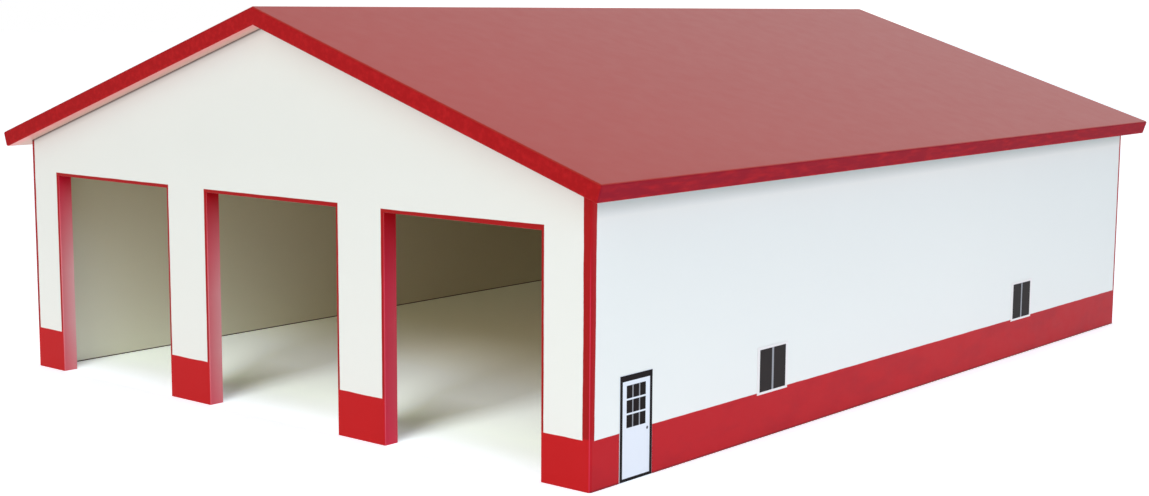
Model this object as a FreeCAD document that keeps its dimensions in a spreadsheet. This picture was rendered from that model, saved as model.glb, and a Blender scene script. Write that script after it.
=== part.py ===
import FreeCAD, Part
import Sketcher
import math
import operator
import os
import types

# Toy farm shop of glued 6 mm board, about 1:64: a walled box with three open bays in its front gable,
# under a roof of two slabs. X runs along the front, Y from the front to the back and Z up; the origin
# lies on the table under the middle of the roof.

# Sizes in millimetres. A name that ends in share is a plain ratio, and one that ends in count a number
# of copies.
SIZES = {
    # walls
    "shop_width": 300,
    "shop_depth": 400,
    "wall_board": 6,
    "eave_height": 94.6,
    "corner_round": 1.2,
    # bays in the front wall
    "bay_count": 3,
    "bay_width": 71,
    "bay_height": 81.2,
    "left_pier": 18.5,
    "middle_pier": 24,
    "bay_ease": 0.6,
    # roof
    "roof_slope_share": 0.328,
    "roof_board": 6.2,
    "eave_overhang": 7.5,
    "gable_overhang": 7,
    "roof_ease": 0.8,
    # strips glued inside
    "ridge_beam_width": 14,
    "ridge_beam_drop": 15,
    "eave_strip_width": 9,
    "eave_strip_drop": 12,
    "corner_strip_leg": 8,
    "corner_strip_lift": 1.5,
    # printed stickers
    "film": 0.15,
    "ink": 0.05,
    "film_margin": 0.1,
    # walk door
    "door_setback": 14.7,
    "door_lift": 0.15,
    "door_width": 16.8,
    "door_height": 34.7,
    "door_side_frame": 1.3,
    "door_head_frame": 2,
    "door_sill_frame": 1,
    "light_count": 3,
    "light_width": 2.9,
    "light_height": 4.2,
    "light_bar": 0.6,
    "light_inset": 2.05,
    "light_drop": 1.45,
    "knob_radius": 0.5,
    "knob_inset": 1.3,
    "knob_height": 15.85,
    # windows
    "window_lift": 16.6,
    "window_height": 15.2,
    "pane_count": 2,
    "pane_width": 7.55,
    "window_bar": 1.2,
    "window_side_frame": 1.4,
    "window_sill_frame": 0.9,
    "front_window_setback": 93.7,
    "rear_window_setback": 290.3,
    # how far a cutting profile runs past what it cuts
    "overrun": 5,
}

doc = FreeCAD.newDocument("farm_shop")
sheet = doc.addObject("Spreadsheet::Sheet", "Sizes")
for row, (name, number) in enumerate(SIZES.items(), start=1):
    sheet.set(f"A{row}", name)
    sheet.set(f"B{row}", str(number))
    sheet.setAlias(f"B{row}", name)
doc.recompute()


class Size:
    """A value of the sheet, or a sum of such values: the number now, and the sum as an expression."""

    def __init__(self, value, text):
        self.value = value
        self.text = text

    def joined(self, sign, other, work, swapped=False):
        if not isinstance(other, Size):
            other = Size(other, str(other))
        first, second = (other, self) if swapped else (self, other)
        return Size(work(first.value, second.value), f"({first.text} {sign} {second.text})")

    def __add__(self, other):
        return self.joined("+", other, operator.add)

    def __radd__(self, other):
        return self.joined("+", other, operator.add, swapped=True)

    def __sub__(self, other):
        return self.joined("-", other, operator.sub)

    def __rsub__(self, other):
        return self.joined("-", other, operator.sub, swapped=True)

    def __mul__(self, other):
        return self.joined("*", other, operator.mul)

    def __rmul__(self, other):
        return self.joined("*", other, operator.mul, swapped=True)

    def __truediv__(self, other):
        return self.joined("/", other, operator.truediv)

    def __rtruediv__(self, other):
        return self.joined("/", other, operator.truediv, swapped=True)

    def __neg__(self):
        return 0 - self


def root(size):
    return Size(math.sqrt(size.value), f"sqrt({size.text})")


s = types.SimpleNamespace(**{name: Size(sheet.get(name), f"Sizes.{name}") for name in SIZES})

half_width = s.shop_width / 2
half_depth = s.shop_depth / 2
# The roof's slant length over its level length, which gives the sine and cosine of its pitch
slant = root(1 + s.roof_slope_share * s.roof_slope_share)
roof_sine = s.roof_slope_share / slant
roof_cosine = 1 / slant
peak_height = s.eave_height + half_width * s.roof_slope_share


def under_roof(inward):
    """Height of the roof's underside at a distance inward of the side walls' outer faces."""
    return s.eave_height + inward * s.roof_slope_share


# Helpers for bodies, sketches and features


def new_body(label):
    body = doc.addObject("PartDesign::Body", label)
    body.Label = label
    return body


def place(body, across=None, along=None, up=None, turn=0):
    """Stands a body at a place given in sizes, turned by whole degrees about the vertical."""
    body.Placement = FreeCAD.Placement(FreeCAD.Vector(), FreeCAD.Rotation(FreeCAD.Vector(0, 0, 1), turn))
    for axis, size in (("x", across), ("y", along), ("z", up)):
        if size is not None:
            body.setExpression(f".Placement.Base.{axis}", size.text)


def new_sketch(body, label, plane, lift=None):
    """A sketch on one of the body's own origin planes, or lifted off it along its normal."""
    sketch = body.newObject("Sketcher::SketchObject", label)
    support = next(item for item in body.Origin.OriginFeatures if item.Role == plane)
    sketch.AttachmentSupport = [(support, "")]
    sketch.MapMode = "FlatFace"
    if lift is not None:
        sketch.setExpression(".AttachmentOffset.Base.z", lift.text)
    return sketch


def pin(sketch, name, side, end, place_at):
    """Fixes a point of a sketch at (across, up) from the origin. None leaves that one to the rest."""
    axes = (("DistanceX", "across", -2), ("DistanceY", "up", -1))
    for (kind, word, axis_line), size in zip(axes, place_at):
        if size is None:
            continue
        if not isinstance(size, Size):
            sketch.addConstraint(Sketcher.Constraint("PointOnObject", side, end, axis_line))
            continue
        if size.value < 0:
            ends, size = (side, end, -1, 1), -size
        else:
            ends = (-1, 1, side, end)
        number = sketch.addConstraint(Sketcher.Constraint(kind, *ends, size.value))
        sketch.renameConstraint(number, f"{name}_{word}")
        sketch.setExpression(f"Constraints.{name}_{word}", size.text)


def number_of(size):
    return size.value if isinstance(size, Size) else size


def draw_loop(sketch, name, corners, arcs=None):
    """Closes a loop through corners, and pins nothing but the centres of its arcs. arcs gives, for the
    corner that a side leaves, the centre that this side bends round."""
    arcs = arcs or {}
    spots = [FreeCAD.Vector(number_of(across), number_of(up), 0) for across, up in corners]
    first = sketch.GeometryCount
    for index, spot in enumerate(spots):
        following = spots[(index + 1) % len(spots)]
        if index not in arcs:
            sketch.addGeometry(Part.LineSegment(spot, following))
            continue
        centre = FreeCAD.Vector(arcs[index][0].value, arcs[index][1].value, 0)
        angles = [math.atan2(point.y - centre.y, point.x - centre.x) for point in (spot, following)]
        circle = Part.Circle(centre, FreeCAD.Vector(0, 0, 1), (spot - centre).Length)
        sketch.addGeometry(Part.ArcOfCircle(circle, *angles))
        pin(sketch, f"{name}_centre_{index}", first + index, 3, arcs[index])
    for index in range(len(corners)):
        following = (index + 1) % len(corners)
        sketch.addConstraint(Sketcher.Constraint("Coincident", first + index, 2, first + following, 1))
    return first


def polygon(sketch, name, corners):
    """A closed loop of straight sides with every corner pinned."""
    first = draw_loop(sketch, name, corners)
    for index, corner in enumerate(corners):
        pin(sketch, f"{name}_{index}", first + index, 1, corner)


def rectangle(sketch, name, left, bottom, right, top):
    polygon(sketch, name, [(left, bottom), (right, bottom), (right, top), (left, top)])


def pad(body, label, sketch, length, both_ways=False):
    feature = body.newObject("PartDesign::Pad", label)
    feature.Profile = sketch
    if both_ways:
        feature.SideType = "Symmetric"
    feature.setExpression("Length", length.text)
    doc.recompute()
    return feature


def cut_through(body, label, sketch, both_ways=False):
    """A pocket right through the body, and a check that it took material away."""
    before = body.Shape.Volume
    feature = body.newObject("PartDesign::Pocket", label)
    feature.Profile = sketch
    feature.Type = "ThroughAll"
    if both_ways:
        feature.SideType = "Symmetric"
    doc.recompute()
    if not body.Shape.Volume < before:
        raise ValueError(f"{label} of {body.Label} cuts nothing")
    return feature


EVEN_SPACING = -1


def repeat(body, label, feature, sketch, directions):
    """A linear pattern of one feature. Each direction is (sketch axis, count, spacing)."""
    pattern = body.newObject("PartDesign::LinearPattern", label)
    pattern.Originals = [feature]
    for ending, (axis, count, spacing) in zip(("", "2"), directions):
        setattr(pattern, "Direction" + ending, (sketch, [axis]))
        setattr(pattern, "Mode" + ending, "Spacing")
        pattern.setExpression("Offset" + ending, spacing.text)
        pattern.setExpression("Occurrences" + ending, count.text)
        # One entry for each gap between copies, where -1 stands for the even spacing
        setattr(pattern, "Spacings" + ending, [EVEN_SPACING] * (round(count.value) - 1))
    body.Tip = pattern
    doc.recompute()
    return pattern


def ease(body, label, radius, chosen):
    """Rounds the edges of the body's last feature that the test picks."""
    base = body.Tip
    names = [f"Edge{n}" for n, edge in enumerate(base.Shape.Edges, start=1) if chosen(edge.BoundBox)]
    feature = body.newObject("PartDesign::Fillet", label)
    feature.Base = (base, names)
    feature.setExpression("Radius", radius.text)
    doc.recompute()
    return feature


# Walls. A panel is drawn standing with its outer face on the plane Y = 0 and its middle at X = 0.

NEAR = 0.001
QUARTER_TURN = 90


def wall_panel(label, length, height):
    """A board with mitred ends. The sharp corner of each mitre is rounded, so that two panels that meet
    there share one quarter round."""
    body = new_body(label)
    end = length / 2
    tip = s.corner_round * (1 - math.sqrt(0.5))
    plan = new_sketch(body, "plan", "XY_Plane")
    corners = [
        (s.corner_round - end, 0),
        (end - s.corner_round, 0),
        (end - tip, tip),
        (end - s.wall_board, s.wall_board),
        (s.wall_board - end, s.wall_board),
        (tip - end, tip),
    ]
    arcs = {1: (end - s.corner_round, s.corner_round), 5: (s.corner_round - end, s.corner_round)}
    first = draw_loop(plan, "board", corners, arcs)
    for index, (across, up) in enumerate(corners):
        # The radius is set where the round leaves the outer face, so its tip needs one measure
        on_tip = index in (2, 5)
        pin(plan, f"board_{index}", first + index, 1, (across, None if on_tip else up))
    pad(body, "board", plan, height)
    return body


def gable_wall(label):
    body = wall_panel(label, s.shop_width, peak_height + s.overrun)
    far = half_width + s.overrun
    low = s.eave_height - s.overrun * s.roof_slope_share
    high = peak_height + 2 * s.overrun
    slopes = new_sketch(body, "slopes", "XZ_Plane")
    polygon(slopes, "above_roof", [(-far, low), (0, peak_height), (far, low), (far, high), (-far, high)])
    cut_through(body, "gable_slopes", slopes)
    return body


def cut_bays(body):
    left = s.left_pier - half_width
    opening = new_sketch(body, "bay_outline", "XZ_Plane")
    rectangle(opening, "bay", left, -s.overrun, left + s.bay_width, s.bay_height)
    bay = cut_through(body, "first_bay", opening)
    repeat(body, "bays", bay, opening, [("H_Axis", s.bay_count, s.bay_width + s.middle_pier)])
    outer_end = half_width.value - s.wall_board.value

    def on_bay(box):
        flat = abs(box.YMin) < NEAR and abs(box.YMax) < NEAR
        within = box.XMin > -outer_end and box.XMax < outer_end
        return flat and within and NEAR < box.ZMax < s.bay_height.value + NEAR

    ease(body, "eased_bays", s.bay_ease, on_bay)


def side_wall(label):
    """A long wall whose top is bevelled to lie flat under the roof slab."""
    body = wall_panel(label, s.shop_depth, under_roof(s.wall_board) + s.overrun)
    outer = -s.overrun
    inner = s.wall_board + s.overrun
    high = under_roof(inner) + s.overrun
    bevel = new_sketch(body, "bevel", "YZ_Plane")
    profile = [(outer, under_roof(outer)), (inner, under_roof(inner)), (inner, high), (outer, high)]
    polygon(bevel, "above_roof", profile)
    cut_through(body, "bevelled_top", bevel, both_ways=True)
    return body


front_wall = gable_wall("front_wall")
cut_bays(front_wall)
place(front_wall, along=-half_depth)

back_wall = gable_wall("back_wall")
place(back_wall, along=half_depth, turn=2 * QUARTER_TURN)

right_wall = side_wall("right_wall")
place(right_wall, across=half_width, turn=QUARTER_TURN)

left_wall = side_wall("left_wall")
place(left_wall, across=-half_width, turn=-QUARTER_TURN)


# Roof. Each slab is drawn as the right one; the left one is the same slab turned about.


def roof_slab(label, turn):
    body = new_body(label)
    low_across = half_width + s.eave_overhang
    low_up = under_roof(-s.eave_overhang)
    section = new_sketch(body, "section", "XZ_Plane")
    corners = [
        (0, peak_height),
        (low_across, low_up),
        (low_across + s.roof_board * roof_sine, low_up + s.roof_board * roof_cosine),
        (0, peak_height + s.roof_board * slant),
    ]
    polygon(section, "slab", corners)
    pad(body, "slab", section, s.shop_depth + 2 * s.gable_overhang, both_ways=True)
    ease(body, "eased_slab", s.roof_ease, lambda box: box.XMax > NEAR)
    place(body, turn=turn)
    return body


roof_right = roof_slab("roof_right", 0)
roof_left = roof_slab("roof_left", 2 * QUARTER_TURN)


# Strips glued inside, where board meets board


def ridge_beam():
    """A five-sided strip in the peak, from gable to gable."""
    body = new_body("ridge_beam")
    side = s.ridge_beam_width / 2
    shoulder = peak_height - side * s.roof_slope_share
    bottom = peak_height - s.ridge_beam_drop
    section = new_sketch(body, "section", "XZ_Plane")
    polygon(
        section,
        "beam",
        [(-side, bottom), (side, bottom), (side, shoulder), (0, peak_height), (-side, shoulder)],
    )
    pad(body, "beam", section, s.shop_depth - 2 * s.wall_board, both_ways=True)
    place(body)
    return body


eave_strip_bottom = under_roof(s.wall_board) - s.eave_strip_drop


def eave_strip(label, turn):
    """A bevelled strip between side wall and roof slab, from gable to gable."""
    body = new_body(label)
    outer = half_width - s.wall_board
    inner = outer - s.eave_strip_width
    inner_top = under_roof(s.wall_board + s.eave_strip_width)
    section = new_sketch(body, "section", "XZ_Plane")
    polygon(
        section,
        "strip",
        [
            (inner, eave_strip_bottom),
            (outer, eave_strip_bottom),
            (outer, under_roof(s.wall_board)),
            (inner, inner_top),
        ],
    )
    pad(body, "strip", section, s.shop_depth - 2 * s.wall_board, both_ways=True)
    place(body, turn=turn)
    return body


def corner_strip(label, across, along, turn):
    """A three-cornered strip behind a mitre, from just off the table up to the eave strip."""
    body = new_body(label)
    section = new_sketch(body, "section", "XY_Plane")
    polygon(section, "strip", [(0, 0), (s.corner_strip_leg, 0), (0, s.corner_strip_leg)])
    pad(body, "strip", section, eave_strip_bottom - s.corner_strip_lift)
    place(body, across, along, s.corner_strip_lift, turn)
    return body


inner_across = half_width - s.wall_board
inner_along = half_depth - s.wall_board
frame_strips = [
    ridge_beam(),
    eave_strip("eave_strip_right", 0),
    eave_strip("eave_strip_left", 2 * QUARTER_TURN),
    corner_strip("corner_strip_front_left", -inner_across, -inner_along, 0),
    corner_strip("corner_strip_front_right", inner_across, -inner_along, QUARTER_TURN),
    corner_strip("corner_strip_back_right", inner_across, inner_along, 2 * QUARTER_TURN),
    corner_strip("corner_strip_back_left", -inner_across, inner_along, -QUARTER_TURN),
]


# Stickers on the right wall: a film with printed ink on it. Each is drawn as seen from outside, with its
# back on the plane Y = 0, and then turned on to the wall.


def stick_on(body, setback):
    place(body, half_width, setback - half_depth, turn=QUARTER_TURN)


def film_sheet(body, left, bottom, right, top):
    sheet_outline = new_sketch(body, "film_outline", "XZ_Plane")
    rectangle(sheet_outline, "film", left, bottom, right, top)
    pad(body, "film", sheet_outline, s.film)


def walk_door():
    """A door leaf with nine lights and a knob in a dark frame."""
    body = new_body("walk_door")
    top = s.door_lift + s.door_height
    edge = s.film_margin
    film_sheet(body, -edge, s.door_lift - edge, s.door_width + edge, top + edge)

    frame = new_sketch(body, "frame_outline", "XZ_Plane", s.film)
    leaf_right = s.door_width - s.door_side_frame
    leaf_bottom = s.door_lift + s.door_sill_frame
    leaf_top = top - s.door_head_frame
    rectangle(frame, "frame", 0, s.door_lift, s.door_width, top)
    rectangle(frame, "leaf", s.door_side_frame, leaf_bottom, leaf_right, leaf_top)
    pad(body, "frame_ink", frame, s.ink)

    light = new_sketch(body, "light_outline", "XZ_Plane", s.film)
    step_across = s.light_width + s.light_bar
    step_up = s.light_height + s.light_bar
    left = s.door_side_frame + s.light_inset
    bottom = leaf_top - s.light_drop - s.light_count * step_up + s.light_bar
    rectangle(light, "light", left, bottom, left + s.light_width, bottom + s.light_height)
    first_light = pad(body, "first_light", light, s.ink)
    directions = [("H_Axis", s.light_count, step_across), ("V_Axis", s.light_count, step_up)]
    repeat(body, "lights", first_light, light, directions)

    knob = new_sketch(body, "knob_outline", "XZ_Plane", s.film)
    knob_centre = (leaf_right - s.knob_inset, s.door_lift + s.knob_height)
    spot = FreeCAD.Vector(knob_centre[0].value, knob_centre[1].value, 0)
    knob.addGeometry(Part.Circle(spot, FreeCAD.Vector(0, 0, 1), s.knob_radius.value))
    pin(knob, "knob", 0, 3, knob_centre)
    number = knob.addConstraint(Sketcher.Constraint("Radius", 0, s.knob_radius.value))
    knob.setExpression(f"Constraints[{number}]", s.knob_radius.text)
    pad(body, "knob_ink", knob, s.ink)
    stick_on(body, s.door_setback)
    return body


def window(label, setback):
    """A sliding window of two panes beside each other."""
    body = new_body(label)
    across = s.pane_count * (s.pane_width + s.window_bar) - s.window_bar
    side = s.window_side_frame
    top = s.window_lift + s.window_height
    film_sheet(body, -side, s.window_lift - s.window_sill_frame, across + side, top + s.window_sill_frame)
    pane = new_sketch(body, "pane_outline", "XZ_Plane", s.film)
    rectangle(pane, "pane", 0, s.window_lift, s.pane_width, top)
    first_pane = pad(body, "first_pane", pane, s.ink)
    repeat(body, "panes", first_pane, pane, [("H_Axis", s.pane_count, s.pane_width + s.window_bar)])
    stick_on(body, setback)
    return body


stickers = [
    walk_door(),
    window("window_front", s.front_window_setback),
    window("window_rear", s.rear_window_setback),
]


# Check every object, then write each piece as its own file

doc.recompute()
pieces = [front_wall, back_wall, right_wall, left_wall, roof_right, roof_left, *frame_strips, *stickers]
for item in doc.Objects:
    if {"Invalid", "Error"} & set(item.State):
        raise ValueError(f"{item.Label} did not build: {item.State}")
for piece in pieces:
    if piece.Shape.isNull() or not piece.Shape.isValid() or len(piece.Shape.Solids) != 1:
        raise ValueError(f"{piece.Label} is not one sound solid")

os.makedirs("parts", exist_ok=True)
for piece in pieces:
    piece.Shape.exportStep(f"parts/{piece.Label}.step")
    box = piece.Shape.BoundBox
    print(piece.Label, round(piece.Shape.Volume, 1), [round(v, 2) for v in (box.XMin, box.YMin, box.ZMin)])
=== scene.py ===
import math

import bpy
from mathutils import Matrix, Vector

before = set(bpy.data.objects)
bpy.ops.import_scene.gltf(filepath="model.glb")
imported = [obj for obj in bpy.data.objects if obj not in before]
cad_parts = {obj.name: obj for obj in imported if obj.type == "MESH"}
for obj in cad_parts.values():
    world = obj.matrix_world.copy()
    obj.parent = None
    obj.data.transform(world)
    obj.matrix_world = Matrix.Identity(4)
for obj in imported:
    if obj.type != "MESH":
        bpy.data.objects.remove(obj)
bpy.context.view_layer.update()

# Sizes in millimetres, on the part's own axes

PER_METRE = 1000
WALL_X = 150
WALL_Y = 200
BOARD = 6
EAVE = 94.6
SLOPE = 0.328
WAINSCOT = 16.5
FIRST_BAY = -96
BAY_STEP = 95
HALF_STEP = BAY_STEP / 2
BAY_WIDTH = 71
HALF_BAY = BAY_WIDTH / 2
BAY_HEIGHT = 81.2
FILM_FACE = WALL_X + 0.15
INK_FACE = WALL_X + 0.2
LIGHTS_Y = -177
LIGHTS_Z = 24.5
LIGHT_STEP_Y = 3.5
LIGHT_STEP_Z = 4.8
LIGHT_HEIGHT = 4.2
DOOR_BAR_HALF = 0.33
KNOB_Y = -171.1
KNOB_Z = 16
KNOB_HALF = 0.6
WINDOWS_Y = (-98.15, 98.45)
WINDOW_FOOT = WAINSCOT + 0.1
WINDOW_TOP = 31.8
WINDOW_BAR_HALF = 0.65

# Widths of the red margins in millimetres, and how far the painted lines stray

BAY_MARGIN = 1.3
FRONT_MARGIN_LEFT = 2.2
FRONT_MARGIN_RIGHT = 3.1
BACK_MARGIN = 2.4
SIDE_MARGIN_REAR = 2.3
SIDE_MARGIN_FRONT = (WAINSCOT, EAVE, 2.15, 2.75)
STRAY = 0.25
BAY_STRAY_SHARE = 0.5
SIDE_STRAY_SHARE = 0.6

# Limits, most with half the width of their soft edge. The first five are for the way that a face looks.

ALONG = (0.5, 0.05)
AGAINST = (-0.5, 0.05)
SIDEWAYS = (0.5, 0.1)
EAVE_EDGE = (0.7, 0.1)
ROOF_UNDERSIDE = (-0.92, 0.015)
SOFT = 0.12
PRINT_SOFT = 0.03
INK_LEVEL = ((FILM_FACE + INK_FACE) / 2, 0.01)
MARGIN_START = (WAINSCOT + 0.5, 0.5)
SIDE_FOOT_SHADOW = (0.5, 0.4)
FLOOR_GAP_SHADOW = (0.45, 0.1)
BARE_FOOT = 0.5
WORN = (0.56, 0.05)
GABLE_JOINT_SHADOW = (0.7, 0.5)
GABLE_SHADE = (1.4, 1.8)
SOFFIT_RIM = (WALL_Y + 3.5, 3)
FLOOR_OUTLINE = (0, 1)
LANE_SIDE = (0, 1)
LANE_END = (112, 85)
BAY_MOUTH = (16, 14)

# How much of a colour such a mask lets through

MARGIN_SHARE = {"x": 0.65, "y": 1}
SIDE_FOOT_SHADOW_SHARE = 0.7
GABLE_JOINT_SHADOW_SHARE = 0.85
GABLE_SHADE_SHARE = 0.27

# Gradients: where each begins and ends, and its value at both where that isn't 0 and 1

RISE_ACROSS = (-HALF_BAY, HALF_BAY)
RISE_RIGHTWARD = (-60, 130, 0.1, 0.65)
# Painted light on the outer white, rising towards the foot
WHITE_LIT_DOWN = (100, 15)
# Painted shade on the side walls' white, under the eave and towards the rear
EAVE_SHADE = (86.2, 91.4)
REAR_SHADE = (40, WALL_Y, 0, 0.12)
# Painted shade inside the shop, deeper upwards and towards the rear
CREAM_SHADE_UP = (5, 95)
CREAM_SHADE_REAR = (-150, 60, 0, 0.35)
SMUDGE_MARKS = (0.46, 0.72, 0, 0.55)
# Painted shade on the side walls' red, deepening towards the rear
REAR_SHADE_ON_RED = (60, WALL_Y, 0, 0.42)
JAMB_LIT_DOWN = (80, 56)
JAMB_LIT_LEFTWARD = (-60, -120, 0, 0.4)
# Where the painted pink sheen of the floor's light lies on the jambs
SHEEN_DOWN = (80, 42)
SHEEN_FOOT = (0, 20, 0.55, 1)
SHEEN_LEFTWARD = (45, -40, 0.15, 0.8)
SHEEN_LEFT_BAY = (-50, -120, 0, 0.2)
SHEEN_INWARD = (-WALL_Y, BOARD - WALL_Y, 0.45, 1)
BRUSH_MARKS = (0.45, 0.7, 0, 0.45)
RING_MARKS = (0.35, 0.7)
MOUTH_PAPER_DEPTH = (5, 38)
LANE_FILL = (34, 70, 0, 0.54)
LANE_RIGHTWARD = (-50, 70, 0.75, 1)
LANE_RIGHT_BAY = (62, 125, 1, 0.72)
WARM_DEPTH = (95, 185)

# Noise: the size of its grains in millimetres and its detail, how it is drawn out, and its roughness

LINE_NOISE = (9, 3)
WALL_MOTTLE = (45, 4)
WALL_PEEL = (0.9, 2)
WALL_ROLL = (6, 3)
WORN_NOISE = (2.5, 4)
SMUDGE_NOISE = (9, 4, (1, 0.35, 1), 0.6)
ROOF_MOTTLE = (70, 4)
ROOF_PEEL = (0.8, 2)
ROOF_ROLL = (7, 3)
BRUSH_NOISE = (1.5, 4, (1, 0.2, 1))
PINE_RINGS = (2.6, 4)
PINE_RINGS_ROUGHNESS = 0.6
PINE_FIBRE = (0.35, 3)
GRAIN_ALONG = (1, 0.05, 1)
GRAIN_UPRIGHT = (1, 1, 0.05)
PRINT_NOISE = (0.5, 3)
FILM_WAVES = (1.5, 2)
PAPER_NOISE = (3, 2)

# Roughness between the usual ends of the noise, depth of the relief in millimetres, and gloss

NOISE_ENDS = (0.2, 0.8)
WALL_ROUGHNESS = (0.34, 0.46)
ROOF_ROUGHNESS = (0.36, 0.40)
ROOF_EDGE_ROUGHNESS = 0.4
PINE_ROUGHNESS = (0.6, 0.8)
PRINT_ROUGHNESS = (0.46, 0.56)
PAPER_ROUGHNESS = 0.9
PEEL_SHARE = 0.4
FIBRE_SHARE = 0.6
WALL_DEPTH = 0.03
ROOF_DEPTH = 0.012
PINE_DEPTH = 0.12
PRINT_DEPTH = 0.01
WALL_GLOSS = 0.06
ROOF_GLOSS = 0.16
PRINT_GLOSS = 0.05
BARE_GLOSS = 0.2

# Paint and print colours, as linear values

RED = (0.535, 0.010, 0.012)
RED_LIGHT = (0.565, 0.012, 0.014)
MARGIN_RED = (0.375, 0.009, 0.009)
# The side walls' red is a darker copy of the same paint: painted shade for the side faces
SHADED_SIDE_RED = (0.50, 0.011, 0.017)
SHADED_SIDE_RED_LIGHT = (0.53, 0.013, 0.019)
SMUDGE_AND_SHADE_RED = (0.38, 0.010, 0.019)
FOOT_SHADOW_RED = (0.14, 0.008, 0.014)
JAMB_RED = (0.63, 0.011, 0.046)
# Painted shade at the top of the jambs, under the lintel
JAMB_SHADE_RED = (0.42, 0.004, 0.010)
# Pale pink of the floor's light on the lower jambs, painted on
PINK_SHEEN = (0.79, 0.39, 0.39)
ROOF_RED = (0.42, 0.016, 0.010)
ROOF_RED_LIGHT = (0.435, 0.019, 0.013)
GABLE_EDGE_RED = (0.365, 0.002, 0.004)
# Darker red of the eave edges: painted shade
SHADED_EAVE_EDGE_RED = (0.28, 0.002, 0.013)
WHITE = (0.765, 0.745, 0.69)
WHITE_LIGHT = (0.788, 0.77, 0.715)
LIT_FOOT_WHITE = (0.87, 0.845, 0.785)
SHADED_WHITE = (0.50, 0.575, 0.585)
CREAM = (0.82, 0.805, 0.655)
SHADED_CREAM = (0.53, 0.49, 0.325)
# Pink of the red walls' light on the white underside of the slabs, painted on
SOFFIT_BOUNCE = (0.67, 0.415, 0.34)
SOFFIT_RIM_BOUNCE = (0.78, 0.27, 0.25)
# Dark brown of the painted shadows at the inner foot and under the gable slabs
GAP_SHADOW = (0.09, 0.045, 0.04)
BOARD_BROWN = (0.42, 0.29, 0.18)
PINE = (0.58, 0.40, 0.22)
PINE_DARK = (0.34, 0.19, 0.085)
DOOR_INK = (0.010, 0.006, 0.006)
DOOR_INK_LIGHT = (0.016, 0.011, 0.011)
PANE_INK = (0.026, 0.020, 0.019)
PANE_INK_LIGHT = (0.034, 0.026, 0.024)
LEAF = (0.80, 0.80, 0.83)
WINDOW_FILM = (0.87, 0.80, 0.76)
BAR_GREY = (0.34, 0.33, 0.34)
KNOB_GREY = (0.10, 0.10, 0.11)
PAPER = (0.93, 0.93, 0.93)
PAPER_LIGHT = (0.95, 0.95, 0.95)
# Floor paper inside the shop, tinted yellow-green for painted shade, and cool at the bay mouths
SHADE_TINTED_PAPER = (0.825, 0.95, 0.67)
SHADE_TINTED_PAPER_LIGHT = (0.845, 0.97, 0.69)
MOUTH_PAPER = (0.82, 0.845, 0.85)
COOL_GLOW = (0.87, 0.93, 1)
WARM_GLOW = (0.93, 0.87, 0.62)
SKY_WHITE = (1, 1, 1)
SKY_BLUE = (0.80, 0.90, 1)

# Strength of the sky's and the floor's glow

SKY_GLOW = {"From Min": 0.1, "From Max": 1, "To Min": 0.46, "To Max": 1.3}
OUTER_GLOW = 0.54
MOUTH_GLOW = 0.22
LANE_GLOW = 0.58
LANE_BLUR = 0.29
DEEP_GLOW = 0.06
# The lamp that the lanes imitate hangs in front of the bays and to the right, in millimetres
LAMP_X = 212
LAMP_AHEAD = 680

# Floor, lights and camera, in metres, with the lens in millimetres and yaw, pitch and roll in degrees

FLOOR_RADIUS = 9
FLOOR_CORNERS = 96
SOFT_BOXES = (
    {
        "name": "key_box",
        "place": (0.19, -0.95, 0.75),
        "target": (0, -0.2, 0.06),
        "size": (0.5, 0.9),
        "power": 3.45,
        "colour": (0.95, 1, 0.9),
    },
    {
        "name": "side_box",
        "place": (1.45, -0.6, 0.85),
        "target": (0.15, -0.05, 0.05),
        "size": (0.8, 0.6),
        "power": 6.1,
        "colour": (0.44, 0.66, 1),
    },
)
CAMERA_PLACE = (0.48891, -0.61386, 0.15106)
CAMERA_ANGLES = (39.870, 7.829, 0.330)
CAMERA_LENS = 55.139
CAMERA_SENSOR = 36
CAMERA_REACH = 50


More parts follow.
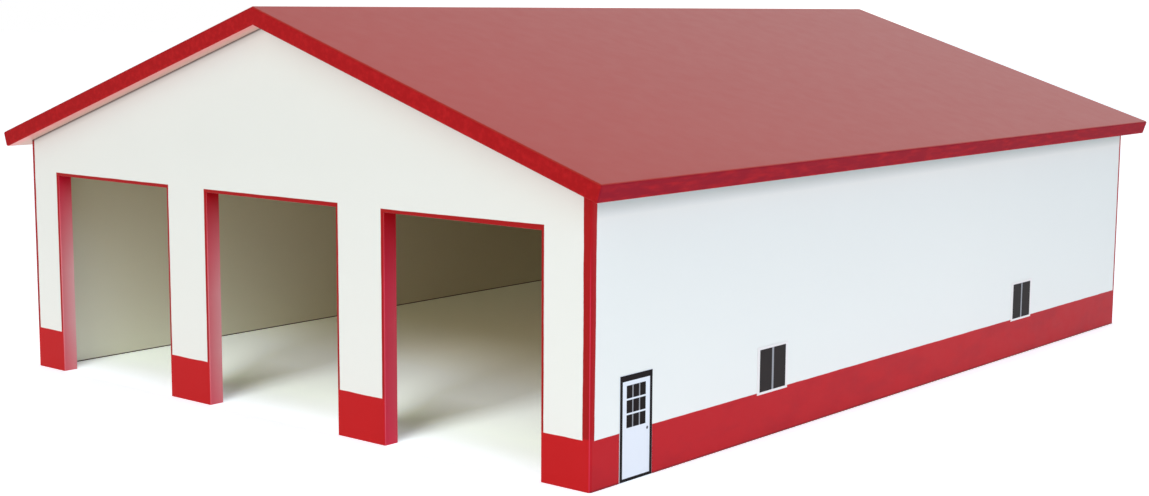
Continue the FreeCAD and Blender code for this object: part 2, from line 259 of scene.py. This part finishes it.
class Paint:
    """The nodes of one material. Places are in millimetres on Object coordinates, and face_x, face_y and
    face_z say which way the surface looks."""

    def __init__(self, name):
        self.material = bpy.data.materials.new(name)
        self.material.use_nodes = True
        self.nodes = self.material.node_tree.nodes
        self.links = self.material.node_tree.links
        self.shader = self.nodes["Principled BSDF"]
        coordinates = self.nodes.new("ShaderNodeTexCoord")
        self.place = self.step("ShaderNodeVectorMath", "SCALE", coordinates.outputs["Object"])
        self.place.node.inputs["Scale"].default_value = PER_METRE
        self.x, self.y, self.z = self.split(self.place)
        self.face_x, self.face_y, self.face_z = self.split(coordinates.outputs["Normal"])

    def feed(self, socket, value):
        if isinstance(value, bpy.types.NodeSocket):
            self.links.new(value, socket)
        elif isinstance(value, tuple) and len(value) == 3 and socket.type == "RGBA":
            socket.default_value = (*value, 1)
        else:
            socket.default_value = value

    def step(self, kind, operation, *values):
        node = self.nodes.new(kind)
        node.operation = operation
        for socket, value in zip(node.inputs, values):
            self.feed(socket, value)
        return node.outputs[0]

    def split(self, vector):
        node = self.nodes.new("ShaderNodeSeparateXYZ")
        self.feed(node.inputs[0], vector)
        return node.outputs

    def do(self, operation, *values):
        return self.step("ShaderNodeMath", operation, *values)

    def map_range(self, *values):
        """A Map Range node on a value, the two ends that it comes from and the two that it goes to."""
        node = self.nodes.new("ShaderNodeMapRange")
        for socket, value in zip(node.inputs, values):
            self.feed(socket, value)
        return node.outputs[0]

    def spread(self, value, low, high, new_low=0, new_high=1):
        return self.map_range(value, low, high, new_low, new_high)

    def below(self, value, limit, soft=SOFT):
        """1 where the value is under the limit, falling to 0 over a soft edge."""
        mask = self.map_range(value, limit - soft, limit + soft, 1, 0)
        mask.node.interpolation_type = "SMOOTHSTEP"
        return mask

    def above(self, value, limit, soft=SOFT):
        return self.invert(self.below(value, limit, soft))

    def invert(self, mask):
        return self.do("SUBTRACT", 1, mask)

    def either(self, *masks):
        total = masks[0]
        for mask in masks[1:]:
            total = self.do("MAXIMUM", total, mask)
        return total

    def both(self, *masks):
        total = masks[0]
        for mask in masks[1:]:
            total = self.do("MULTIPLY", total, mask)
        return total

    def mix(self, share, first, second):
        node = self.nodes.new("ShaderNodeMix")
        node.data_type = "RGBA"
        for name, value in (("Factor_Float", share), ("A_Color", first), ("B_Color", second)):
            self.feed(next(socket for socket in node.inputs if socket.identifier == name), value)
        return next(socket for socket in node.outputs if socket.identifier == "Result_Color")

    def noise(self, grain, detail, scale=(1, 1, 1), roughness=0.5):
        """Noise whose grains are about so many millimetres across, drawn out by the scale."""
        stretch = tuple(part / grain for part in scale)
        node = self.nodes.new("ShaderNodeTexNoise")
        self.feed(node.inputs["Vector"], self.step("ShaderNodeVectorMath", "MULTIPLY", self.place, stretch))
        node.inputs["Scale"].default_value = 1
        node.inputs["Detail"].default_value = detail
        node.inputs["Roughness"].default_value = roughness
        return node.outputs["Fac"]

    def rolled_coat(self, peel, roll, roughness):
        """Roughness and height of a coat from the roller: soft waves with a finer peel on them."""
        waves = self.noise(*roll)
        height = self.do("ADD", self.do("MULTIPLY", self.noise(*peel), PEEL_SHARE), waves)
        return self.spread(waves, *NOISE_ENDS, *roughness), height

    def finish(self, colour, roughness, height=None, depth=0, gloss=BARE_GLOSS):
        """Joins colour, roughness and a height, whose full range is a depth in millimetres."""
        self.shader.inputs["Specular IOR Level"].default_value = gloss
        self.feed(self.shader.inputs["Base Color"], colour)
        self.feed(self.shader.inputs["Roughness"], roughness)
        if height is not None:
            bump = self.nodes.new("ShaderNodeBump")
            bump.inputs["Distance"].default_value = depth / PER_METRE
            self.feed(bump.inputs["Height"], height)
            self.links.new(bump.outputs[0], self.shader.inputs["Normal"])
        return self.material


# Painted walls


def wall_material(name, outward, red_where, reds):
    """White outside with red where the wall's own rule says, red on every cut edge and cream inside.
    outward is the axis and the sign of the way that the outer face looks."""
    paint = Paint(name)
    axis, sign = outward
    facing = paint.do("MULTIPLY", paint.face_x if axis == "x" else paint.face_y, sign)
    outer = paint.above(facing, *ALONG)
    inner = paint.below(facing, *AGAINST)
    edge = paint.do("SUBTRACT", paint.invert(outer), inner)
    wobble = paint.spread(paint.noise(*LINE_NOISE), 0, 1, -STRAY, STRAY)
    red = paint.either(edge, paint.both(outer, red_where(paint, wobble)))
    # Painted shadow along the inner foot, where the wall stands on the floor
    gap_shadow = paint.both(inner, paint.below(paint.z, *FLOOR_GAP_SHADOW))
    if axis == "y":
        # Painted shadow and shade under the gable slabs
        gap_shadow = paint.either(gap_shadow, paint.both(outer, gable_roof_shadow(paint)))

    mottle = paint.noise(*WALL_MOTTLE)
    pigment = wall_red(paint, axis, paint.mix(mottle, *reds))
    if red_where is front_red:
        upright = paint.above(paint.do("ABSOLUTE", paint.face_x), *SIDEWAYS)
        pigment = paint.mix(upright, pigment, jamb_red(paint))
    colour = paint.mix(inner, wall_white(paint, axis, mottle), wall_cream(paint))
    colour = paint.mix(red, colour, pigment)
    colour = paint.mix(bare_foot(paint), colour, BOARD_BROWN)
    colour = paint.mix(gap_shadow, colour, GAP_SHADOW)
    roughness, height = paint.rolled_coat(WALL_PEEL, WALL_ROLL, WALL_ROUGHNESS)
    return paint.finish(colour, roughness, height, WALL_DEPTH, WALL_GLOSS)


def wall_white(paint, axis, mottle):
    """White with painted light that makes it lighter low down, and on the side walls painted shade that
    dims it under the eave and towards the rear.
    """
    white = paint.mix(mottle, WHITE, WHITE_LIGHT)
    # Painted light: the outer white gets lighter low down
    white = paint.mix(paint.spread(paint.z, *WHITE_LIT_DOWN), white, LIT_FOOT_WHITE)
    if axis == "x":
        # Painted shade under the eave and towards the rear of the side walls
        painted_shade = paint.either(paint.spread(paint.z, *EAVE_SHADE), paint.spread(paint.y, *REAR_SHADE))
        white = paint.mix(painted_shade, white, SHADED_WHITE)
    return white


def wall_cream(paint):
    """Cream of the inner faces, with painted shade that deepens it upwards and towards the rear."""
    # Painted shade inside the shop, deeper upwards and towards the rear
    shaded = paint.do("ADD", paint.spread(paint.z, *CREAM_SHADE_UP), paint.spread(paint.y, *CREAM_SHADE_REAR))
    return paint.mix(shaded, CREAM, SHADED_CREAM)


def wall_red(paint, axis, red):
    """The wall's red, darker on the margins above the wainscot. On the side walls it is smudged as well,
    with painted shade towards the rear and a painted contact shadow at the foot."""
    margin = paint.both(paint.above(paint.z, *MARGIN_START), MARGIN_SHARE[axis])
    red = paint.mix(margin, red, MARGIN_RED)
    if axis == "x":
        red = paint.mix(brush_marks_and_rear_shade(paint), red, SMUDGE_AND_SHADE_RED)
        # Painted contact shadow along the foot of the side walls
        foot = paint.both(paint.below(paint.z, *SIDE_FOOT_SHADOW), SIDE_FOOT_SHADOW_SHARE)
        red = paint.mix(foot, red, FOOT_SHADOW_RED)
    return red


def brush_marks_and_rear_shade(paint):
    """Brush marks along the side walls, where the red is a little darker, and painted shade that darkens it
    more towards the rear.
    """
    marks = paint.spread(paint.noise(*SMUDGE_NOISE), *SMUDGE_MARKS)
    return paint.do("ADD", marks, paint.spread(paint.y, *REAR_SHADE_ON_RED))


def jamb_red(paint):
    """Red of the upright sides of the bays: painted shade at the top under the lintel, painted light that
    makes it lighter low down and at the left bay, and a painted pink sheen in places.
    """
    # Painted light low down and at the left bay, painted shade under the lintel
    light = paint.do("ADD", paint.spread(paint.z, *JAMB_LIT_DOWN), paint.spread(paint.x, *JAMB_LIT_LEFTWARD))
    red = paint.mix(light, JAMB_SHADE_RED, JAMB_RED)
    return paint.mix(painted_sheen(paint), red, PINK_SHEEN)


def painted_sheen(paint):
    """Where the floor's light lies on the upright sides of the bays as a painted pale pink sheen: low down,
    towards the inner edge, and more on the left bays.
    """
    leftward = paint.spread(paint.x, *SHEEN_LEFTWARD)
    leftward = paint.do("ADD", leftward, paint.spread(paint.x, *SHEEN_LEFT_BAY))
    low = paint.both(paint.spread(paint.z, *SHEEN_DOWN), paint.spread(paint.z, *SHEEN_FOOT))
    return paint.both(low, leftward, paint.spread(paint.y, *SHEEN_INWARD))


def bare_foot(paint):
    """Where the paint has worn off the edge that the wall stands on."""
    worn = paint.above(paint.noise(*WORN_NOISE), *WORN)
    return paint.both(paint.below(paint.face_z, *AGAINST), paint.below(paint.z, BARE_FOOT), worn)


def gable_roof_shadow(paint):
    """Painted shadow in the thin joint between a gable wall and the slabs on it, with a fainter band of
    painted shade below it.
    """
    drop = paint.do("MULTIPLY", paint.do("ABSOLUTE", paint.x), SLOPE)
    roof = paint.do("SUBTRACT", EAVE + WALL_X * SLOPE, drop)
    under = paint.do("SUBTRACT", roof, paint.z)
    joint_shadow = paint.both(paint.below(under, *GABLE_JOINT_SHADOW), GABLE_JOINT_SHADOW_SHARE)
    return paint.either(joint_shadow, paint.both(paint.below(under, *GABLE_SHADE), GABLE_SHADE_SHARE))


def gable_red(paint, wobble, left_margin, right_margin):
    """Wainscot and corner boards on a wall that faces along Y."""
    z = paint.do("ADD", paint.z, wobble)
    x = paint.do("ADD", paint.x, wobble)
    return paint.either(
        paint.below(z, WAINSCOT),
        paint.below(x, left_margin - WALL_X),
        paint.above(x, WALL_X - right_margin),
    )


def front_red(paint, wobble):
    """The gable's red, and a margin round each bay."""
    from_first = paint.do("SUBTRACT", paint.x, FIRST_BAY)
    across = paint.do("WRAP", from_first, HALF_STEP, -HALF_STEP)
    beside = paint.do("SUBTRACT", paint.do("ABSOLUTE", across), HALF_BAY)
    # The red over a bay gets broader to the right, and more so on the right bays
    rise = paint.both(paint.spread(across, *RISE_ACROSS), paint.spread(paint.x, *RISE_RIGHTWARD))
    over = paint.do("SUBTRACT", paint.do("SUBTRACT", paint.z, BAY_HEIGHT), rise)
    stray = paint.do("MULTIPLY", wobble, BAY_STRAY_SHARE)
    from_bay = paint.do("ADD", paint.do("MAXIMUM", beside, over), stray)
    gable = gable_red(paint, wobble, FRONT_MARGIN_LEFT, FRONT_MARGIN_RIGHT)
    return paint.either(gable, paint.below(from_bay, BAY_MARGIN))


def back_red(paint, wobble):
    return gable_red(paint, wobble, BACK_MARGIN, BACK_MARGIN)


def side_red(paint, wobble):
    """Wainscot and corner boards on a side wall. The front one gets broader upwards."""
    y = paint.do("ADD", paint.y, wobble)
    z = paint.do("ADD", paint.z, paint.do("MULTIPLY", wobble, SIDE_STRAY_SHARE))
    front_strip = paint.spread(paint.z, *SIDE_MARGIN_FRONT)
    from_front = paint.do("SUBTRACT", paint.do("ADD", y, WALL_Y), front_strip)
    return paint.either(
        paint.below(z, WAINSCOT),
        paint.below(from_front, 0),
        paint.above(y, WALL_Y - SIDE_MARGIN_REAR),
    )


# Roof slabs


def roof_material(name):
    """Red on the top and the brushed edges, with painted shade on the eave edges, and underneath white
    painted pink with the walls' red light, more so at the gable rims.
    """
    paint = Paint(name)
    under = paint.below(paint.face_z, *ROOF_UNDERSIDE)
    top = paint.above(paint.face_z, *ALONG)
    edge = paint.do("SUBTRACT", paint.invert(under), top)
    # Painted shade: the eave edges get a darker red than the gable edges
    shaded_eave_edge = paint.above(paint.do("ABSOLUTE", paint.face_x), *EAVE_EDGE)
    edge_pigment = paint.mix(shaded_eave_edge, GABLE_EDGE_RED, SHADED_EAVE_EDGE_RED)
    brushed = paint.spread(paint.noise(*BRUSH_NOISE), *BRUSH_MARKS)
    edge_pigment = paint.mix(brushed, edge_pigment, RED)
    pigment = paint.mix(paint.noise(*ROOF_MOTTLE), ROOF_RED, ROOF_RED_LIGHT)
    pigment = paint.mix(edge, pigment, edge_pigment)
    # Painted light: the red walls' pink bounce on the white underside, stronger at the gable rims
    rim_bounce = paint.above(paint.do("ABSOLUTE", paint.y), *SOFFIT_RIM)
    colour = paint.mix(under, pigment, paint.mix(rim_bounce, SOFFIT_BOUNCE, SOFFIT_RIM_BOUNCE))
    top_roughness, height = paint.rolled_coat(ROOF_PEEL, ROOF_ROLL, ROOF_ROUGHNESS)
    roughness = paint.do("ADD", top_roughness, paint.do("MULTIPLY", edge, ROOF_EDGE_ROUGHNESS))
    return paint.finish(colour, roughness, height, ROOF_DEPTH, ROOF_GLOSS)


# Glue strips


def strip_material(name, scale):
    """Bare sawn softwood, with its grain drawn out along one axis by the scale."""
    paint = Paint(name)
    rings = paint.noise(*PINE_RINGS, scale, PINE_RINGS_ROUGHNESS)
    fibre = paint.noise(*PINE_FIBRE, scale)
    colour = paint.mix(paint.spread(rings, *RING_MARKS), PINE, PINE_DARK)
    roughness = paint.spread(fibre, *NOISE_ENDS, *PINE_ROUGHNESS)
    height = paint.do("ADD", rings, paint.do("MULTIPLY", fibre, FIBRE_SHARE))
    return paint.finish(colour, roughness, height, PINE_DEPTH)


# Printed stickers on the right wall


def sticker_material(name, inks, light, grey_bars, grey_ink=None):
    """Dark ink on light film: the ink is what stands proud of the film's face. The upright bars between
    the lights are grey, and so is the ink where grey_ink says."""
    paint = Paint(name)
    ink = paint.above(paint.x, *INK_LEVEL)
    print_grain = paint.noise(*PRINT_NOISE)
    dark = paint.mix(print_grain, *inks)
    if grey_ink:
        dark = paint.mix(grey_ink(paint), dark, KNOB_GREY)
    film = paint.mix(grey_bars(paint), light, BAR_GREY)
    colour = paint.mix(ink, film, dark)
    roughness = paint.spread(print_grain, *NOISE_ENDS, *PRINT_ROUGHNESS)
    return paint.finish(colour, roughness, paint.noise(*FILM_WAVES), PRINT_DEPTH, PRINT_GLOSS)


def between(paint, value, middle, half):
    """1 where the value is no further than half from the middle."""
    return paint.below(paint.do("ABSOLUTE", paint.do("SUBTRACT", value, middle)), half, PRINT_SOFT)


def door_bars(paint):
    """The two upright bars between the lights, but not where the level bars cross them."""
    bars = [
        between(paint, paint.y, LIGHTS_Y + place * LIGHT_STEP_Y, DOOR_BAR_HALF) for place in (-0.5, 0.5)
    ]
    rows = [
        between(paint, paint.z, LIGHTS_Z + place * LIGHT_STEP_Z, LIGHT_HEIGHT / 2) for place in (-1, 0, 1)
    ]
    return paint.both(paint.either(*bars), paint.either(*rows))


def door_knob(paint):
    across = between(paint, paint.y, KNOB_Y, KNOB_HALF)
    return paint.both(across, between(paint, paint.z, KNOB_Z, KNOB_HALF))


def window_bars(paint):
    """The upright bar in the middle of each window."""
    bars = [between(paint, paint.y, middle, WINDOW_BAR_HALF) for middle in WINDOWS_Y]
    over_foot = paint.above(paint.z, WINDOW_FOOT)
    return paint.both(paint.either(*bars), over_foot, paint.below(paint.z, WINDOW_TOP))


wall_rules = {
    "front_wall": (("y", -1), front_red, (RED, RED_LIGHT)),
    "back_wall": (("y", 1), back_red, (RED, RED_LIGHT)),
    # The side walls take the darker red, which is painted shade
    "right_wall": (("x", 1), side_red, (SHADED_SIDE_RED, SHADED_SIDE_RED_LIGHT)),
    "left_wall": (("x", -1), side_red, (SHADED_SIDE_RED, SHADED_SIDE_RED_LIGHT)),
}
finishes = {name: wall_material(f"{name}_paint", *rule) for name, rule in wall_rules.items()}
roof_paint = roof_material("roof_paint")
strip_along = strip_material("strip_pine_along", GRAIN_ALONG)
strip_upright = strip_material("strip_pine_upright", GRAIN_UPRIGHT)
door_inks = (DOOR_INK, DOOR_INK_LIGHT)
pane_inks = (PANE_INK, PANE_INK_LIGHT)
door_print = sticker_material("door_print", door_inks, LEAF, door_bars, door_knob)
window_print = sticker_material("window_print", pane_inks, WINDOW_FILM, window_bars)
shared_finishes = {
    "roof": roof_paint,
    "ridge": strip_along,
    "eave": strip_along,
    "corner": strip_upright,
    "walk_door": door_print,
    "window": window_print,
}
for name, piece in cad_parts.items():
    for start, finish in shared_finishes.items():
        if name.startswith(start):
            finishes[name] = finish
    for slot in piece.material_slots:
        slot.material = finishes[name]


# Floor, light and camera


def studio_floor():
    """White paper that glows, so that it stays white round the shop and in its bay mouths; inside the shop
    its tint and glow are painted shade and painted light.
    """
    bpy.ops.object.select_all(action="DESELECT")
    bpy.ops.mesh.primitive_circle_add(
        vertices=FLOOR_CORNERS, radius=FLOOR_RADIUS, fill_type="NGON", location=(0, 0, 0)
    )
    floor = bpy.context.object
    floor.name = "studio_floor"
    paint = Paint("floor_paper")
    beside = paint.do("SUBTRACT", paint.do("ABSOLUTE", paint.x), WALL_X)
    ahead = paint.do("SUBTRACT", paint.do("ABSOLUTE", paint.y), WALL_Y)
    outside = paint.above(paint.do("MAXIMUM", beside, ahead), *FLOOR_OUTLINE)
    inside = paint.invert(outside)
    depth = paint.do("MAXIMUM", paint.do("ADD", paint.y, WALL_Y), 0)

    grain = paint.noise(*PAPER_NOISE)
    paper = paint.mix(grain, PAPER, PAPER_LIGHT)
    # Painted shade: the paper inside is tinted yellow-green, and cool at the bay mouths
    shade_tinted = paint.mix(grain, SHADE_TINTED_PAPER, SHADE_TINTED_PAPER_LIGHT)
    shade_tinted = paint.mix(paint.spread(depth, *MOUTH_PAPER_DEPTH), MOUTH_PAPER, shade_tinted)
    colour = paint.mix(outside, shade_tinted, paper)

    # Painted light: glow at the bay mouths, in the lamp's lanes and dimly deep inside
    mouth = paint.both(paint.below(depth, *BAY_MOUTH), MOUTH_GLOW)
    inner_glow = paint.do("ADD", paint.do("ADD", lane_glow(paint, depth), mouth), DEEP_GLOW)
    inner_glow = paint.both(inside, inner_glow)
    glow = paint.do("ADD", inner_glow, paint.both(outside, OUTER_GLOW))
    warm = paint.both(inside, paint.spread(depth, *WARM_DEPTH))
    paint.feed(paint.shader.inputs["Emission Color"], paint.mix(warm, COOL_GLOW, WARM_GLOW))
    paint.feed(paint.shader.inputs["Emission Strength"], glow)
    floor.data.materials.append(paint.finish(colour, PAPER_ROUGHNESS))


def lane_glow(paint, depth):
    """The lanes that the lamp throws between the piers. They slide away from it with the depth, and their
    sides get softer."""
    share = paint.do("DIVIDE", depth, paint.do("ADD", depth, LAMP_AHEAD))
    slide = paint.do("MULTIPLY", paint.do("SUBTRACT", LAMP_X, paint.x), share)
    slid = paint.do("ADD", paint.do("SUBTRACT", paint.x, FIRST_BAY), slide)
    across = paint.do("ABSOLUTE", paint.do("WRAP", slid, HALF_STEP, -HALF_STEP))
    blur = paint.do("ADD", paint.do("MULTIPLY", depth, LANE_BLUR), 1)
    from_pier = paint.do("DIVIDE", paint.do("SUBTRACT", HALF_BAY, across), blur)
    lane = paint.either(paint.above(from_pier, *LANE_SIDE), paint.spread(depth, *LANE_FILL))
    rightward = paint.spread(paint.x, *LANE_RIGHTWARD)
    rightward = paint.both(rightward, paint.spread(paint.x, *LANE_RIGHT_BAY))
    return paint.both(lane, paint.below(depth, *LANE_END), rightward, LANE_GLOW)


def soft_box(name, place, target, size, power, colour):
    light = bpy.data.lights.new(name, "AREA")
    light.shape = "RECTANGLE"
    light.size, light.size_y = size
    light.energy = power
    light.color = colour
    lamp = bpy.data.objects.new(name, light)
    bpy.context.scene.collection.objects.link(lamp)
    lamp.location = place
    way = (lamp.location - Vector(target)).to_track_quat("Z", "Y")
    lamp.rotation_euler = way.to_euler()


def studio_sky():
    """White behind the shop, where the roof mirrors it, dimmer round the front and the sides, and a little
    blue from the right. The camera itself sees plain white."""
    world = bpy.data.worlds.new("studio_sky")
    world.use_nodes = True
    nodes = world.node_tree.nodes
    links = world.node_tree.links
    shade = nodes["Background"]
    way = nodes.new("ShaderNodeTexCoord")
    parts = nodes.new("ShaderNodeSeparateXYZ")
    links.new(way.outputs["Generated"], parts.inputs[0])
    right = nodes.new("ShaderNodeMapRange")
    links.new(parts.outputs["X"], right.inputs["Value"])
    glow = nodes.new("ShaderNodeMapRange")
    glow.interpolation_type = "SMOOTHSTEP"
    links.new(parts.outputs["Y"], glow.inputs["Value"])
    for name, number in SKY_GLOW.items():
        glow.inputs[name].default_value = number
    seen = nodes.new("ShaderNodeLightPath")
    strength = nodes.new("ShaderNodeMath")
    strength.operation = "MAXIMUM"
    links.new(glow.outputs[0], strength.inputs[0])
    links.new(seen.outputs["Is Camera Ray"], strength.inputs[1])
    links.new(strength.outputs[0], shade.inputs["Strength"])
    unseen = nodes.new("ShaderNodeMath")
    unseen.operation = "SUBTRACT"
    unseen.use_clamp = True
    links.new(right.outputs[0], unseen.inputs[0])
    links.new(seen.outputs["Is Camera Ray"], unseen.inputs[1])
    tint = nodes.new("ShaderNodeMixRGB")
    links.new(unseen.outputs[0], tint.inputs["Fac"])
    tint.inputs["Color1"].default_value = (*SKY_WHITE, 1)
    tint.inputs["Color2"].default_value = (*SKY_BLUE, 1)
    links.new(tint.outputs[0], shade.inputs["Color"])
    bpy.context.scene.world = world
    bpy.context.scene.view_settings.view_transform = "Standard"


def photo_camera():
    """The camera that the photograph was taken with, as fitted on the walls' and roof's corners."""
    yaw, pitch, roll = (math.radians(angle) for angle in CAMERA_ANGLES)
    data = bpy.data.cameras.new("photo_camera")
    data.sensor_width = CAMERA_SENSOR
    data.lens = CAMERA_LENS
    data.clip_end = CAMERA_REACH
    camera = bpy.data.objects.new("photo_camera", data)
    bpy.context.scene.collection.objects.link(camera)
    turn = Matrix.Rotation(yaw, 4, "Z") @ Matrix.Rotation(math.pi / 2 - pitch, 4, "X")
    aimed = Matrix.Translation(CAMERA_PLACE) @ turn
    camera.matrix_world = aimed @ Matrix.Rotation(roll, 4, "Z")
    bpy.context.scene.camera = camera


studio_floor()
studio_sky()
for box in SOFT_BOXES:
    soft_box(**box)
photo_camera()
